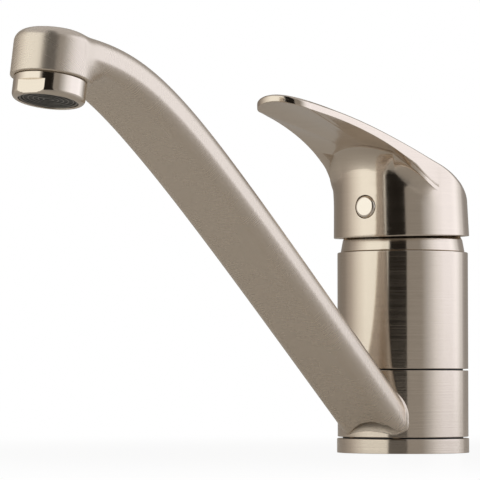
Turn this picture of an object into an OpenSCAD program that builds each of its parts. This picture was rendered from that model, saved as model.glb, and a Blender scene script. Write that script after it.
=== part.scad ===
// Single-lever kitchen mixer tap with a swivel spout.
// The origin is the centre of the foot on the sink deck, +Z is up.
// The spout and the lever point along -Y, towards the user.

/* [Column] */
// Diameter of the body tube and of the turning collar
body_d = 50; // [48:0.5:56]
// Height of the top of the body tube above the deck
body_top = 76.4; // [74:0.2:90]
// Height of the foot ring
base_h = 5.5; // [4.5:0.5:8]
// How far the foot ring stands out past the collar
base_lip = 0.25; // [0:0.05:1]
// Height of the turning collar that carries the spout
collar_h = 25.2; // [24:0.2:30]
// Height of each slip washer between fixed and turning rings
washer_h = 0.55; // [0.4:0.05:1]
// Wall of the turning collar, with its running clearance on the core
collar_wall = 5; // [4:0.1:6]

/* [Connections] */
// Radius of the threaded inlets for the supply hoses
inlet_r = 5; // [4:0.5:5.5]
// Distance of each inlet from the middle plane
inlet_x = 7.5; // [7:0.25:8]
// Distance of the inlets in front of the axis
inlet_y = 3.5; // [2:0.5:5]
// Radius of the threaded hole for the fixing stud
stud_r = 4; // [3:0.5:4.5]
// Depth of the three threaded holes
thread_depth = 12; // [8:1:13]

/* [Cartridge] */
// Diameter of the cartridge housing
cartridge_d = 40; // [38:0.5:41]
// Depth of the lever's pivot below the top of the body tube
pivot_drop = 10.4; // [9:0.2:12]
// Swing of the lever from closed to fully open
lift = 25; // [15:1:26]
// Side of the square stem
stem_side = 8; // [6:0.5:9]
// Thickness of each ceramic disc
disc_t = 3.2; // [2.5:0.1:4]
// Diameter of the moving ceramic disc
moving_disc_d = 26; // [22:0.5:27]

/* [Spout] */
// Distance from the tap axis to the outlet axis
reach = 217; // [170:2:260]
// Height of the aerator's lower face above the deck
outlet_h = 118; // [100:1:150]
// Outward tilt of the outlet
outlet_tilt = 10; // [0:0.2:15]
// Width of the spout arm
arm_w = 29; // [25:0.2:32]
// Thickness of the spout arm at the collar
arm_t = 13.4; // [12:0.2:17]
// Thickness of the spout arm where it enters the head
arm_tip_t = 10.2; // [9:0.2:14]
// Wall of the spout arm round its waterway
arm_wall = 2.2; // [1.6:0.1:3]
// Distance of the arm's bend behind the outlet axis
knee_back = 42.6; // [30:0.2:60]
// Diameter of the spout head
head_d = 26.6; // [25:0.2:30]
// Length of the spout head above its rim
head_h = 15.3; // [14:0.1:22]

/* [Aerator] */
// Outer diameter of the aerator housing
aerator_d = 23.6; // [22:0.2:24.6]
// Length of the aerator housing below the head
aerator_h = 6.9; // [6:0.1:10]
// Depth of the two spanner flats
flat_depth = 0.9; // [0.4:0.1:1]

/* [Handle] */
// How far the handle's round skirt stands out past the body tube
handle_lip = 1.05; // [0.8:0.05:3]
// Gap between the skirt's lower edge and the body tube at the middle
skirt_gap = 5.1; // [4.5:0.1:7]
// Forward lean of the handle and of the skirt's lower edge when the lever is closed
skirt_tilt = 2.7; // [0:0.1:5]
// Distance from the tap axis to the lever's tip
lever_reach = 87; // [70:1:110]
// Height of the lever's tip above the deck
lever_tip_h = 128.4; // [120:0.2:140]
// Width across the lever's tip corners
lever_tip_w = 22.1; // [16:0.1:28]
// Thickness of the lever's blade
lever_t = 2.3; // [2:0.1:4]
// Height of the handle's back edge above the deck
handle_back_h = 93.6; // [91:0.2:100]
// Diameter of the index button
button_d = 8.7; // [7:0.1:10]
// Height of the index button's centre above the deck
button_h = 92.8; // [90:0.2:98]

/* [Hidden] */

$fn = 96;

// Clearances
run_fit = 0.08;      // turning and sliding fits, per side
seat_gap = 0.05;     // between pieces that are screwed or pushed together
lap_gap = 0.02;      // between lapped or stacked faces
cut = 1;             // how far a cutter runs past a face

// Column
body_r = body_d / 2;
core_r = body_r - collar_wall;
collar_z = base_h + washer_h + seat_gap;
collar_top = collar_z + collar_h;
body_z = collar_top + washer_h + seat_gap;
collar_bore = core_r + run_fit;
washer_inset = 2;
washer_play = 0.3;
washer_bore = core_r + washer_play;
edge_break = 0.4;
flange_inset = 3;
flange_r = body_r - flange_inset;
flange_h = 3.6;
gasket_h = 1.2;
gasket_inset = 1.4;
gasket_w = 6.6;
gasket_out = body_r - gasket_inset;
gasket_in = gasket_out - gasket_w;
body_wall = 2.6;
core_head_h = 6;
core_head_r = body_r - body_wall;
seat_z = body_z + core_head_h;

// Swivel seals and the water ring between them
seal_t = 2.6;
seal_groove = 3;
seal_land = 1.6;
seal_out = collar_bore - seat_gap;
seal_in = seal_out - seal_t;
ring_h = 11;
ring_depth = 2.6;
ring_z = (collar_z + collar_top) / 2;
seal_low = ring_z - ring_h / 2 - seal_land - seal_groove / 2;
seal_high = ring_z + ring_h / 2 + seal_land + seal_groove / 2;

// Water passages
inlet_bore = 3.6;
outlet_bore = 3.8;
outlet_y = 9;
port_r = 3.4;
outlet_sump = 0.6;
disc_port_r = 3.4;

// Cartridge levels, from its seat up to the pivot
pivot_z = body_top - pivot_drop;
cartridge_r = cartridge_d / 2;
cartridge_bore = cartridge_r + seat_gap;
rest_tilt = lift / 2;
crank = 9;
ball_r = 2.5;
crank_swing = crank * sin(rest_tilt);
port_seal_w = 1.5;
seal_h = 1.6;
seal_stand = 0.4;
base_bottom = seat_z + seal_stand;
carrier_h = 4.4;
carrier_drop = 0.6;
carrier_z = pivot_z - crank - carrier_h / 2 - carrier_drop;
moving_z = carrier_z - disc_t;
fixed_z = moving_z - disc_t;
base_top = fixed_z - lap_gap;
housing_wall = 2;
housing_in = cartridge_r - housing_wall;
disc_play = 0.4;
fixed_disc_r = housing_in - disc_play;
moving_disc_r = moving_disc_d / 2;
nut_depth = 8;
shoulder_z = body_top - nut_depth;
neck_r = 15.4;
neck_drop = 0.6;
neck_top = body_top - neck_drop;
guide_r = 13;
guide_flange_w = 3.4;
guide_flange_r = guide_r + guide_flange_w;
guide_flange_h = 3;
guide_drop = 5;
guide_z = pivot_z - guide_drop;
guide_inset = 0.4;
guide_top = neck_top - guide_inset;
guide_bore = guide_r + run_fit;
guide_roof = guide_z + guide_flange_h + run_fit;
pin_r = 1.6;
pin_half = guide_r - guide_inset;

// Nut and dome
nut_inset = 2.8;
nut_r = body_r - nut_inset;
nut_play = 0.2;
nut_bore = neck_r + nut_play;
nut_floor = shoulder_z + lap_gap;
nut_step = body_top - neck_drop;
nut_rise = 4.4;
nut_top = body_top + nut_rise;
nut_neck_inset = 3.2;
nut_neck_r = nut_r - nut_neck_inset;
nut_seat_drop = 0.6;
nut_seat = shoulder_z - nut_seat_drop;
dome_gap = 0.1;
dome_z = body_top + dome_gap;
dome_bore = nut_neck_r + seat_gap;
dome_inset = 1.25;
dome_taper = 0.85;
dome_r = body_r - dome_inset;
dome_top_r = dome_r - dome_taper;
dome_side_h = 4.6;
dome_h = 7;
dome_top = dome_z + dome_h;
dome_lip = 0.8;
dome_mouth = neck_r - dome_lip;

// Handle: a skirt with a casting draft, all of it leaning forward about the pivot
handle_r = body_r + handle_lip;
skirt_wall = 1.95;
skirt_z = body_top + skirt_gap;
draft = 1.7;
draft_h = 18.5;
draft_top = skirt_z + draft_h;
cap_r = handle_r - draft_h * tan(draft);
lean = tan(skirt_tilt);
plan_reach = lever_reach - (lever_tip_h - pivot_z) * lean;
cavity_r = handle_r - skirt_wall;
cavity_side_h = 9;
cavity_bend_h = 13;
cavity_h = 15.2;
cavity_bend_in = 3;
cavity_top_in = 7;
boss_r = 8.2;
stem_len = 31;
stem_foot = 4;
boss_start = 20.6;
screw_r = 2.5;
screw_len = 9;
screw_gap = 0.1;
button_t = 2;
button_sink = 0.1;
button_seat = cap_r + (draft_top - button_h) * tan(draft) + (button_h - pivot_z) * lean
    - button_t - button_sink;

// Handle plan: where the side meets the round cap, and the pull of its curve's two ends
side_angle = 68;
tip_depth = 4.7;
tip_blunt = 0.8;
side_flare = [4.9, 32];
side_run = 12;
tip_steps = 7;
side_steps = 13;
cap_steps = 13;

// Handle top: slopes at the two ends, crosswise arch and rounded edge
back_slope = 0.52;
tip_slope = 0.07;
arch_h = 2;
arch_run = 0.2;
arch_share = 0.35;
edge_fine = 1;
edge_full = 4.5;
edge_from = 0.9;
edge_run = 1.6;
inner_rows = [0.35, 0.65, 0.86];
round_steps = 3;

// Handle underside: depth and reach of the band's growth, then the fillet down to the skirt
band_deep = 7.5;
band_from = 1.2;
band_reach = 4.5;
band_foot = 1.2;
edge_flat = 0.6;
under_slope = 1.6;
fillet_out = 6;
fillet_drop = 9.5;
fillet_share = 0.35;
under_steps = 5;
fillet_steps = 6;

// Head and aerator, measured up from the aerator's lower face
rim_a = aerator_h;
head_top = rim_a + head_h;
head_round = 3.9;
head_bore = 8.6;
head_chamber = 9;
aerator_r = aerator_d / 2;
aerator_wall = 1.3;
aerator_in = aerator_r - aerator_wall;
nipple_play = 0.1;
nipple_r = aerator_in - nipple_play;
aerator_gap = 0.15;
aerator_top = rim_a - aerator_gap;
aerator_lip = 2.1;
aerator_mouth = aerator_r - aerator_lip;
aerator_step = 1.9;
cage_z = 0.35;
cage_h = 1.5;
screen_t = 0.06;
screen_z = cage_z + cage_h + lap_gap;
aerator_washer_t = 0.6;
aerator_washer_z = aerator_step + seat_gap;
nipple_low = aerator_washer_z + aerator_washer_t + seat_gap;

// Spout arm centreline: a line out of the collar that bends near the head.
root_drop = 2.1;
end_drop = 0.2;
knee_drop = 2.9;
arm_root = [body_r, ring_z - root_drop];
end_rise = head_top - arm_tip_t / 2 - end_drop;
arm_end = [reach - end_rise * tan(outlet_tilt), outlet_h + end_rise];
knee = [reach - knee_back, arm_end[1] - knee_drop];
bend_start = 0.9;
taper_from = 0.43;
cove_r = 3;
waterway_end = 0.96;
arm_stations = 34;
arm_sides = 36;
waterway_stations = 18;
waterway_sides = 20;

function mix(a, b, t) = a + (b - a) * t;
function clamp01(t) = min(1, max(0, t));
function smooth(t) = clamp01(t) * clamp01(t) * (3 - 2 * clamp01(t));

// Cubic curve through four control points.
function bezier(a, b, c, d, t) =
    a * pow(1 - t, 3) + b * 3 * t * pow(1 - t, 2) + c * 3 * t * t * (1 - t) + d * pow(t, 3);

// Distance out and height of the arm's centreline, t = 0 at the collar and 1 in the head.
function arm_at(t) = bezier(arm_root, mix(arm_root, knee, bend_start), knee, arm_end, t);

// Unit tangent of the centreline.
function arm_dir(t) =
    let (e = 0.002, d = arm_at(min(1, t + e)) - arm_at(max(0, t - e))) d / norm(d);

// Point at angle a of a flat oval of width w and thickness h: two half circles and two flats.
function section(a, w, h) =
    [h / 2 * cos(a) + (w - h) / 2 * sign(round(cos(a) * 1000)), h / 2 * sin(a)];

// One ring of the arm: the section set square to the centreline at t.
function arm_ring(t, inset, back, sides) =
    let (
        p = arm_at(t) - back * arm_dir(t),
        d = arm_dir(t),
        k = smooth((t - taper_from) / (1 - taper_from)),
        w = mix(arm_w, head_d, k) - 2 * inset,
        h = mix(arm_t, arm_tip_t, k) - 2 * inset
    )
    [for (i = [0:sides - 1])
        let (s = section(360 * i / sides, w, h))
        [s[0], -(p[0] - s[1] * d[1]), p[1] + s[1] * d[0]]];

// Closed solid through equal rings of points, with a flat face at each end.
module loft(rings) {
    n = len(rings[0]);
    m = len(rings);
    points = [for (r = rings) each r];
    sides = [for (j = [0:m - 2]) for (i = [0:n - 1])
        each [[j * n + i, (j + 1) * n + (i + 1) % n, j * n + (i + 1) % n],
              [j * n + i, (j + 1) * n + i, (j + 1) * n + (i + 1) % n]]];
    first = [for (i = [0:n - 1]) i];
    last = [for (i = [n - 1:-1:0]) (m - 1) * n + i];
    polyhedron(points = points, faces = concat([first], sides, [last]));
}

// The arm's outer form, or its waterway when inset is more than zero.
module arm_form(inset, last, stations, sides) {
    loft(concat(
        [arm_ring(0, inset, body_r / 2, sides)],
        [for (j = [0:stations]) arm_ring(last * j / stations, inset, 0, sides)]));
}

// Ring of rectangular section between two radii.
module ring(r_out, r_in, h) {
    difference() {
        cylinder(r = r_out, h = h);
        translate([0, 0, -cut]) cylinder(r = r_in, h = h + 2 * cut);
    }
}

// Round seal of circular section.
module o_ring(r_mid, r_section) {
    rotate_extrude() translate([r_mid, 0]) circle(r = r_section, $fn = 32);
}

// Places its children in the outlet's own frame, z upwards from the aerator's face.
module at_outlet() {
    translate([0, -reach, outlet_h]) rotate([-outlet_tilt, 0, 0]) children();
}

// Places its children in the stem's own frame, z along the stem from the pivot.
module at_stem() {
    translate([0, 0, pivot_z]) rotate([rest_tilt, 0, 0]) children();
}

// Foot ring that stands on the deck, with an inner lip over the core's flange.
module base_ring() {
    lip_z = gasket_h + flange_h + seat_gap;
    outer = body_r + base_lip;
    color("#cdbfae") rotate_extrude() polygon([
        [washer_bore, lip_z], [flange_r + seat_gap, lip_z], [flange_r + seat_gap, gasket_h],
        [gasket_out + seat_gap, gasket_h], [gasket_out + seat_gap, 0], [outer, 0],
        [outer, base_h - edge_break], [outer - edge_break, base_h], [washer_bore, base_h]]);
}

// Flat rubber washer that seals the foot to the deck.
module base_gasket() {
    color("#2b2b2b") ring(gasket_out, gasket_in, gasket_h - seat_gap);
}

// Brass core: foot flange, swivel post, water ring, seal grooves and cartridge seat.
module core() {
    color("#b99a4e") difference() {
        rotate_extrude() polygon([
            [0, 0], [gasket_in - seat_gap, 0], [gasket_in - seat_gap, gasket_h], [flange_r, gasket_h],
            [flange_r, gasket_h + flange_h], [core_r, gasket_h + flange_h],
            [core_r, body_z], [core_head_r, body_z], [core_head_r, seat_z], [0, seat_z]]);
        for (z = [seal_low, seal_high])
            translate([0, 0, z - seal_groove / 2])
                ring(core_r + cut, seal_in, seal_groove);
        translate([0, 0, ring_z - ring_h / 2]) ring(core_r + cut, core_r - ring_depth, ring_h);
        for (s = [-1, 1]) translate([s * inlet_x, -inlet_y, 0]) {
            translate([0, 0, -cut]) cylinder(r = inlet_r, h = thread_depth + cut);
            translate([0, 0, thread_depth - cut]) cylinder(r = inlet_bore, h = seat_z);
        }
        translate([0, outlet_y, -cut]) cylinder(r = stud_r, h = thread_depth + cut);
        translate([0, outlet_y, ring_z - port_r - outlet_sump]) cylinder(r = outlet_bore, h = seat_z);
        translate([0, outlet_y, ring_z]) rotate([-90, 0, 0]) cylinder(r = port_r, h = core_r);
    }
}

// Slip washer between a fixed ring and the turning collar.
module slip_washer() {
    color("#3a3632") ring(body_r - washer_inset, washer_bore, washer_h);
}

module lower_washer() {
    translate([0, 0, base_h]) slip_washer();
}

module upper_washer() {
    translate([0, 0, collar_top + seat_gap]) slip_washer();
}

// Two rubber rings that seal the water ring inside the collar.
module swivel_seals() {
    color("#242424") for (z = [seal_low, seal_high])
        translate([0, 0, z]) o_ring(seal_out - seal_t / 2, seal_t / 2);
}

// Turning collar with the port that feeds the arm.
module collar() {
    color("#cdbfae") difference() {
        translate([0, 0, collar_z]) rotate_extrude() polygon([
            [collar_bore, 0], [body_r - edge_break / 2, 0], [body_r, edge_break / 2],
            [body_r, collar_h - edge_break / 2], [body_r - edge_break / 2, collar_h],
            [collar_bore, collar_h]]);
        arm_port();
    }
}

// Round-ended port cut through the collar's wall in line with the waterway.
module arm_port() {
    margin = 1;
    port_h = arm_t - 2 * (arm_wall + margin);
    flat = arm_w - arm_t;
    translate([0, -core_r + cut, ring_z]) rotate([90, 0, 0])
        linear_extrude(height = body_r - core_r + 2 * cut) {
            square([flat, port_h], center = true);
            for (s = [-1, 1]) translate([s * flat / 2, 0]) circle(d = port_h);
        }
}

// Spout arm and head, hollow from the collar to the aerator.
module arm() {
    cove_z = arm_root[1] - arm_t / 2;
    color("#cdbfae") difference() {
        union() {
            arm_form(0, 1, arm_stations, arm_sides);
            at_outlet() head_form();
        }
        translate([0, 0, -cut]) cylinder(r = body_r, h = body_top, $fn = 180);
        translate([-arm_w, -body_r - cove_r / 2, cove_z]) rotate([0, 90, 0])
            cylinder(r = cove_r, h = 2 * arm_w);
        arm_form(arm_wall, waterway_end, waterway_stations, waterway_sides);
        at_outlet() translate([0, 0, -cut]) cylinder(r = head_bore, h = rim_a + head_chamber);
    }
}

// Outer form of the head with the threaded nipple that carries the aerator.
module head_form() {
    lip = 0.5;
    rotate_extrude() difference() {
        union() {
            translate([0, rim_a]) square([head_d / 2, head_h - head_round]);
            translate([0, rim_a]) square([head_d / 2 - head_round, head_h]);
            translate([head_d / 2 - head_round, head_top - head_round]) circle(r = head_round, $fn = 64);
            translate([0, nipple_low]) square([nipple_r, head_h]);
        }
        translate([-head_d, -head_h]) square([head_d, 4 * head_h]);
        translate([head_d / 2, rim_a]) rotate(45) square(lip * sqrt(2), center = true);
    }
}

// Flat washer between the nipple and the aerator's cage.
module aerator_washer() {
    color("#2b2b2b") at_outlet() translate([0, 0, aerator_washer_z])
        ring(nipple_r - aerator_gap, head_bore, aerator_washer_t);
}

// Flow straightener: concentric rings on four spokes.
module aerator_cage() {
    web = 0.5;
    pitch = 1.65;
    rim = 0.7;
    outer = aerator_mouth - seat_gap;
    spoke = outer - rim / 2;
    color("#3b3b3b") at_outlet() translate([0, 0, cage_z]) {
        for (r = [pitch:pitch:aerator_mouth - web]) ring(r + web / 2, r - web / 2, cage_h);
        ring(outer, outer - rim, cage_h);
        difference() {
            for (a = [0:45:135]) rotate(a)
                translate([-spoke, -web / 2, 0]) cube([2 * spoke, web, cage_h]);
            translate([0, 0, -cut]) cylinder(r = pitch - web / 2, h = cage_h + 2 * cut);
        }
    }
}

// Fine screen over the cage, a thin disc pierced by rings of holes.
module aerator_screen() {
    rows = 3;
    pitch = 2.4;
    hole_r = 0.7;
    color("#8c8c8c") at_outlet() translate([0, 0, screen_z]) difference() {
        cylinder(r = aerator_mouth - 2 * seat_gap, h = screen_t);
        for (k = [1:rows]) for (i = [0:6 * k - 1])
            rotate(60 * i / k) translate([pitch * k, 0, -cut])
                cylinder(r = hole_r, h = screen_t + 2 * cut, $fn = 16);
    }
}

// Screwed ring that holds the cage under the head, with two spanner flats.
module aerator_housing() {
    bevel = 1.1;
    ledge = 0.25;
    flat_top = 4.4;
    flat_turn = 6;
    color("#d8cfc0") at_outlet() difference() {
        rotate_extrude() polygon([
            [aerator_mouth, 0], [aerator_r - bevel, 0], [aerator_r, bevel], [aerator_r, aerator_top],
            [aerator_in, aerator_top], [aerator_in, aerator_step],
            [aerator_mouth, aerator_step - ledge]]);
        for (a = [0, 180]) rotate(a + 90 + flat_turn)
            translate([aerator_r - flat_depth, -aerator_r, -cut]) cube([aerator_r, aerator_d, flat_top + cut]);
    }
}

// Body tube over the core's head, bored for the cartridge and threaded for its nut.
module body() {
    neck_wall = nut_r + seat_gap;
    foot_wall = core_head_r + seat_gap;
    foot_play = 0.3;
    foot_top = seat_z + foot_play;
    color("#cdbfae") rotate_extrude() polygon([
        [foot_wall, body_z], [body_r - edge_break / 2, body_z], [body_r, body_z + edge_break / 2],
        [body_r, body_top - edge_break], [body_r - edge_break, body_top], [neck_wall, body_top],
        [neck_wall, nut_seat], [cartridge_bore, nut_seat], [cartridge_bore, foot_top],
        [foot_wall, foot_top]]);
}

// Rubber seals round the three ports, in the cartridge's base.
module port_seals() {
    color("#7a2f26") port_places() translate([0, 0, seat_z + lap_gap])
        ring(inlet_bore + port_seal_w, inlet_bore, seal_h);
}

// Repeats its children at the two inlet ports and the outlet port.
module port_places() {
    for (s = [-1, 1]) translate([s * inlet_x, -inlet_y, 0]) children();
    translate([0, outlet_y, 0]) children();
}

// Lower half of the cartridge: ports, seal pockets and the fixed disc's seat.
module cartridge_base() {
    color("#e8e6e0") difference() {
        translate([0, 0, base_bottom]) cylinder(r = housing_in - seat_gap, h = base_top - base_bottom);
        port_places() {
            translate([0, 0, seat_z])
                cylinder(r = inlet_bore + port_seal_w + seat_gap, h = seal_h + seat_gap + lap_gap);
            translate([0, 0, seat_z]) cylinder(r = disc_port_r, h = fixed_z - seat_z);
        }
    }
}

// Cartridge housing: a cup with a narrow neck that guides the turning stem guide.
module cartridge_housing() {
    color("#e8e6e0") rotate_extrude() polygon([
        [housing_in, base_bottom], [cartridge_r, base_bottom], [cartridge_r, shoulder_z],
        [neck_r, shoulder_z], [neck_r, neck_top], [guide_bore, neck_top],
        [guide_bore, guide_roof], [housing_in, guide_roof]]);
}

// Fixed ceramic disc with its three ports.
module fixed_disc() {
    color("#f4f2ee") difference() {
        translate([0, 0, fixed_z]) cylinder(r = fixed_disc_r, h = disc_t - lap_gap);
        port_places() translate([0, 0, fixed_z - cut]) cylinder(r = disc_port_r, h = disc_t + 2 * cut);
    }
}

// Moving ceramic disc, with the hollow in its lower face that joins the ports.
module moving_disc() {
    hollow_r = 7.2;
    hollow_back = 2.2;
    color("#f4f2ee") difference() {
        translate([0, crank_swing, moving_z]) cylinder(r = moving_disc_r, h = disc_t);
        translate([0, crank_swing + hollow_back, moving_z - cut])
            cylinder(r = hollow_r, h = disc_t / 2 + cut);
    }
}

// Plastic carrier clipped on the moving disc, slotted for the stem's ball.
module disc_carrier() {
    slot = ball_r + run_fit;
    color("#b8c4c8") difference() {
        translate([0, crank_swing, carrier_z + lap_gap]) cylinder(r = moving_disc_r, h = carrier_h);
        translate([-slot, crank_swing - slot, carrier_z - cut])
            cube([2 * slot, 2 * slot, carrier_h + 2 * cut]);
    }
}

// Guide that turns in the housing's neck and carries the stem on its pin.
module stem_guide() {
    side = stem_side + 2 * run_fit;
    spare_tilt = 4;
    swing = (guide_top - guide_z) * tan(rest_tilt + spare_tilt) + stem_side / 2;
    color("#5c6468") difference() {
        union() {
            translate([0, 0, guide_z]) cylinder(r = guide_r, h = guide_top - guide_z);
            translate([0, 0, guide_z]) cylinder(r = guide_flange_r, h = guide_flange_h);
        }
        translate([-side / 2, -swing, guide_z - cut]) cube([side, 2 * swing, guide_top]);
        translate([-guide_flange_r, 0, pivot_z]) rotate([0, 90, 0])
            cylinder(r = pin_r + seat_gap, h = 2 * guide_flange_r);
    }
}

// Steel pin through the guide and the stem.
module pivot_pin() {
    color("#9aa0a4") translate([-pin_half, 0, pivot_z]) rotate([0, 90, 0])
        cylinder(r = pin_r, h = 2 * pin_half);
}

// Square stem with its pin bore and the ball that pushes the discs.
module stem() {
    neck_r = 2.1;
    color("#9aa0a4") at_stem() difference() {
        union() {
            translate([-stem_side / 2, -stem_side / 2, -stem_foot])
                cube([stem_side, stem_side, stem_len + stem_foot]);
            translate([0, 0, -crank]) cylinder(r = neck_r, h = crank - stem_foot + cut);
            translate([0, 0, -crank]) sphere(r = ball_r);
        }
        translate([-stem_side, 0, 0]) rotate([0, 90, 0]) cylinder(r = pin_r + run_fit, h = 2 * stem_side);
    }
}

// Brass nut that clamps the cartridge, with a neck that carries the dome.
module cartridge_nut() {
    slots = 6;
    slot_w = 3;
    slot_d = 2;
    color("#b99a4e") difference() {
        rotate_extrude() polygon([
            [nut_bore, nut_floor], [nut_r, nut_floor], [nut_r, nut_step],
            [nut_neck_r, nut_step], [nut_neck_r, nut_top], [nut_bore, nut_top]]);
        for (i = [0:slots - 1]) rotate(360 * i / slots)
            translate([neck_r, -slot_w / 2, nut_top - slot_d]) cube([nut_r, slot_w, slot_d + cut]);
    }
}

// Rounded cover over the nut, seen between the body tube and the handle.
module dome_cover() {
    crown = dome_z + dome_side_h;
    round_r = dome_top - crown;
    floor_z = nut_top + dome_gap;
    color("#cdbfae") rotate_extrude() difference() {
        union() {
            polygon([
                [dome_bore, dome_z], [dome_r - edge_break, dome_z], [dome_r, dome_z + edge_break],
                [dome_top_r, crown], [dome_bore, crown]]);
            translate([dome_top_r - round_r, crown]) circle(r = round_r, $fn = 64);
            translate([dome_mouth, crown - cut]) square([dome_top_r - round_r - dome_mouth, round_r + cut]);
        }
        translate([0, dome_z - cut]) square([dome_bore, floor_z - dome_z + cut]);
        translate([0, dome_z]) square([dome_mouth, dome_top]);
    }
}

// Handle plan: half of the outline from the tip, along the side, round the cap to the back.
side_from = [lever_tip_w / 2, tip_depth - plan_reach];
side_to = cap_r * [sin(side_angle), -cos(side_angle)];
side_end = side_to - side_run * [cos(side_angle), sin(side_angle)];
function tip_point(t) =
    [side_from[0] * pow(sin(90 * t), tip_blunt), side_from[1] - tip_depth * pow(cos(90 * t), tip_blunt)];
function side_point(t) = bezier(side_from, side_from + side_flare, side_end, side_to, t);
function cap_point(t) = let (a = mix(side_angle, 180, t)) cap_r * [sin(a), -cos(a)];
half_plan = concat(
    [for (i = [0:tip_steps - 1]) tip_point(i / tip_steps)],
    [for (i = [0:side_steps - 1]) side_point(i / side_steps)],
    [for (i = [0:cap_steps]) cap_point(i / cap_steps)]);
plan = concat(half_plan, [for (i = [len(half_plan) - 2:-1:1]) [-half_plan[i][0], half_plan[i][1]]]);

// Height of the handle's top along the middle plane, falling from the tip to the back.
function top_height(y) =
    let (
        span = plan_reach + cap_r,
        t = clamp01((cap_r - y) / span),
        t2 = t * t,
        t3 = t2 * t
    )
    handle_back_h * (2 * t3 - 3 * t2 + 1) + span * back_slope * (t3 - 2 * t2 + t)
    + lever_tip_h * (3 * t2 - 2 * t3) + span * tip_slope * (t3 - t2);

// Half width of the plan at y, close enough to shape the crosswise arch.
function half_width(y) =
    let (t = clamp01((plan_reach + y) / (plan_reach + cap_r * arch_run)))
    mix(lever_tip_w / 2, cap_r, mix(pow(t, 3), t, arch_share));

// Crosswise arch of the top, highest on the middle plane and zero at the sides.
function arch(p) = arch_h * (1 - pow(min(1, abs(p[0]) / half_width(p[1])), 2));

// Lower edge of the skirt, lower towards the lever.
function skirt_height(y) = skirt_z + y * lean;

// Thickness of the visible edge band: thin on the blade, deep where it runs into the cap.
function band(p) =
    let (near = band_reach / (band_reach + max(0, norm(p) - cap_r)))
    lever_t + band_deep * near * smooth(band_from - p[1] / cap_r);

// Radius of the rounded top edge: fine on the blade, full at the back.
function edge_round(p) = mix(edge_fine, edge_full, smooth((p[1] / cap_r + edge_from) / edge_run));

// Outward normal of the plan at point i.
function plan_normal(i) =
    let (
        n = len(plan),
        d = plan[(i + 1) % n] - plan[(i + n - 1) % n]
    )
    [d[1], -d[0]] / norm(d);

// Points above or below plan point i: on the top, round its edge, under the blade, on the
// fillet and at the skirt's lower edge.
function top_row(i, f) =
    let (p = (plan[i] - edge_round(plan[i]) * plan_normal(i)) * f)
    [p[0], p[1], top_height(p[1]) + arch(p)];

function round_row(i, a) =
    let (p = plan[i], r = edge_round(p), q = p - r * (1 - sin(a)) * plan_normal(i))
    [q[0], q[1], top_height(q[1]) + arch(q) - r * (1 - cos(a))];

// Where the fillet under the blade leaves the blade's flat underside.
function fillet_reach(p) =
    let (d = norm(p) - cap_r) d <= 0.01 ? 0 : d * fillet_out / (d + fillet_out);
function wall_point(p, d) = p / norm(p) * (cap_r + d);
function band_low(p) =
    let (depth = max(band(p), edge_round(p) + edge_flat))
    max(top_height(p[1]) + arch(p) - depth, skirt_height(p[1]) + band_foot);
function flat_low(p) =
    let (q = wall_point(p, fillet_reach(p)))
    min(band_low(p), top_height(q[1]) + arch(q) - lever_t) - under_slope;
function fillet_low(p) =
    let (q = wall_point(p, 0))
    max(flat_low(p) - fillet_drop, mix(skirt_height(q[1]), flat_low(p), fillet_share));

function under_row(i, g) =
    let (
        p = plan[i],
        q = wall_point(p, fillet_reach(p)),
        w = mix(p, q, g)
    )
    [w[0], w[1], mix(band_low(p), flat_low(p), g)];

function fillet_row(i, a) =
    let (
        p = plan[i],
        w = wall_point(p, fillet_reach(p) * (1 - sin(a)))
    )
    [w[0], w[1], mix(fillet_low(p), flat_low(p), cos(a))];

function skirt_row(i) =
    let (w = wall_point(plan[i], 0)) [w[0], w[1], skirt_height(w[1])];

// A point of the upright form moved to its place: wider below by the draft, then leaned forward.
function settle(p) =
    let (widen = 1 + max(0, draft_top - p[2]) * tan(draft) / cap_r)
    [p[0] * widen, p[1] * widen - (p[2] - pivot_z) * lean, p[2]];

// The handle's outer form, closed at the top by a fan and below by the skirt's plane.
module handle_form() {
    n = len(plan);
    rows = concat(
        [for (f = inner_rows) [for (i = [0:n - 1]) top_row(i, f)]],
        [for (k = [0:round_steps]) [for (i = [0:n - 1]) round_row(i, 90 * k / round_steps)]],
        [for (k = [0:under_steps - 1]) [for (i = [0:n - 1]) under_row(i, k / under_steps)]],
        [for (k = [0:fillet_steps]) [for (i = [0:n - 1]) fillet_row(i, 90 * k / fillet_steps)]],
        [[for (i = [0:n - 1]) skirt_row(i)]]);
    m = len(rows);
    ends = [[0, 0, top_height(0) + arch_h], [0, 0, skirt_height(0)]];
    points = [for (p = concat([for (r = rows) each r], ends)) settle(p)];
    fan_top = [for (i = [0:n - 1]) [m * n, (i + 1) % n, i]];
    fan_low = [for (i = [0:n - 1]) [m * n + 1, (m - 1) * n + i, (m - 1) * n + (i + 1) % n]];
    sides = [for (j = [0:m - 2]) for (i = [0:n - 1])
        each [[j * n + i, j * n + (i + 1) % n, (j + 1) * n + (i + 1) % n],
              [j * n + i, (j + 1) * n + (i + 1) % n, (j + 1) * n + i]]];
    polyhedron(points = points, faces = concat(fan_top, sides, fan_low));
}

// Hollow under the handle, wide at the skirt and narrower round the stem's boss.
module handle_cavity() {
    translate([0, 0, body_top]) rotate_extrude() polygon([
        [0, -cut], [cavity_r, -cut], [cavity_r, cavity_side_h],
        [cavity_r - cavity_bend_in, cavity_bend_h], [cavity_r - cavity_top_in, cavity_h],
        [0, cavity_h]]);
}

// Leans its children forward about the pivot, as the handle leans when it is closed.
module leaned() {
    translate([0, 0, pivot_z]) rotate([skirt_tilt, 0, 0]) translate([0, 0, -pivot_z]) children();
}

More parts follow.
